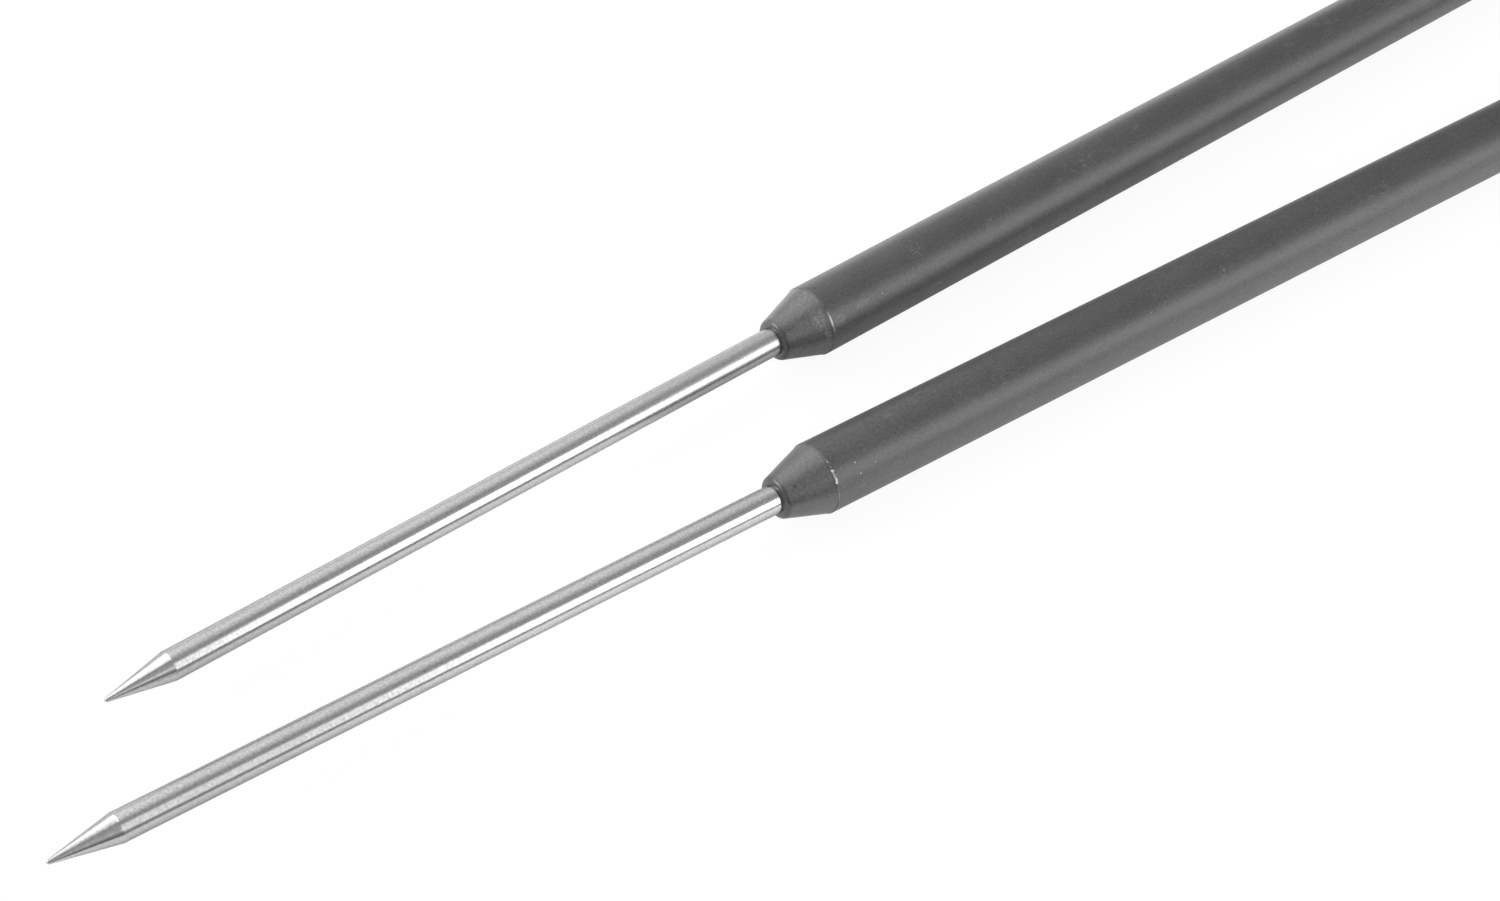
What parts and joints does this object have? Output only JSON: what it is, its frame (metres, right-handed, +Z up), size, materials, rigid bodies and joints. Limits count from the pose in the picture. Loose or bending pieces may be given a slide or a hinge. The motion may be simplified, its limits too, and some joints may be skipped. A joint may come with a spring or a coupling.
{
  "type": "oscilloscope needle probe",
  "caption": "Pencil-slim needle probes for oscilloscope work: long bare steel needles with ground points, short conical noses and straight dark grey handles with rear lead sockets.",
  "frame": {"origin": "middle of the pair's box, on the surface the handles lie on", "axes": "+X runs along probe A from its point to its rear end, +Y from probe A to probe B, +Z up"},
  "size_m": [0.244, 0.0332, 0.008],
  "materials": {
    "ground_steel": "ground lengthwise, bright",
    "nose_plastic": "turned, dark grey, matte",
    "handle_plastic": "extruded, dark grey, matte",
    "cap_plastic": "moulded, dark grey, matte",
    "chuck_brass": "turned",
    "contact_brass": "turned, bright",
    "resistor_lacquer": "lacquered ceramic",
    "tinned_metal": "tinned, dull",
    "copper_wire": "bare drawn copper",
    "red_insulation": "smooth PVC",
    "sleeve_ivory": "varnished glass-fibre sleeve",
    "bush_ivory": "turned acetal",
    "spring_steel": "blued spring steel"
  },
  "bodies": {
    "probe_a": {"needle_a": "ground_steel", "nose_cone_a": "nose_plastic", "handle_tube_a": "handle_plastic", "needle_chuck_a": "chuck_brass", "resistor_body_a": "resistor_lacquer", "resistor_caps_a": "tinned_metal", "resistor_leads_a": "tinned_metal", "resistor_sleeve_a": "sleeve_ivory", "lead_ferrule_a": "tinned_metal", "link_wire_a": "copper_wire", "link_insulation_a": "red_insulation", "socket_contact_a": "contact_brass", "contact_clip_a": "spring_steel", "rear_bush_a": "bush_ivory", "end_cap_a": "cap_plastic"},
    "probe_b": {"needle_b": "ground_steel", "nose_cone_b": "nose_plastic", "handle_tube_b": "handle_plastic", "needle_chuck_b": "chuck_brass", "resistor_body_b": "resistor_lacquer", "resistor_caps_b": "tinned_metal", "resistor_leads_b": "tinned_metal", "resistor_sleeve_b": "sleeve_ivory", "lead_ferrule_b": "tinned_metal", "link_wire_b": "copper_wire", "link_insulation_b": "red_insulation", "socket_contact_b": "contact_brass", "contact_clip_b": "spring_steel", "rear_bush_b": "bush_ivory", "end_cap_b": "cap_plastic"}
  },
  "joints": [
    {"name": "probe_b_lift", "type": "slide", "parent": "probe_a", "child": "probe_b", "axis": [0, 0, 1], "range_m": [0, 0.06]}
  ]
}
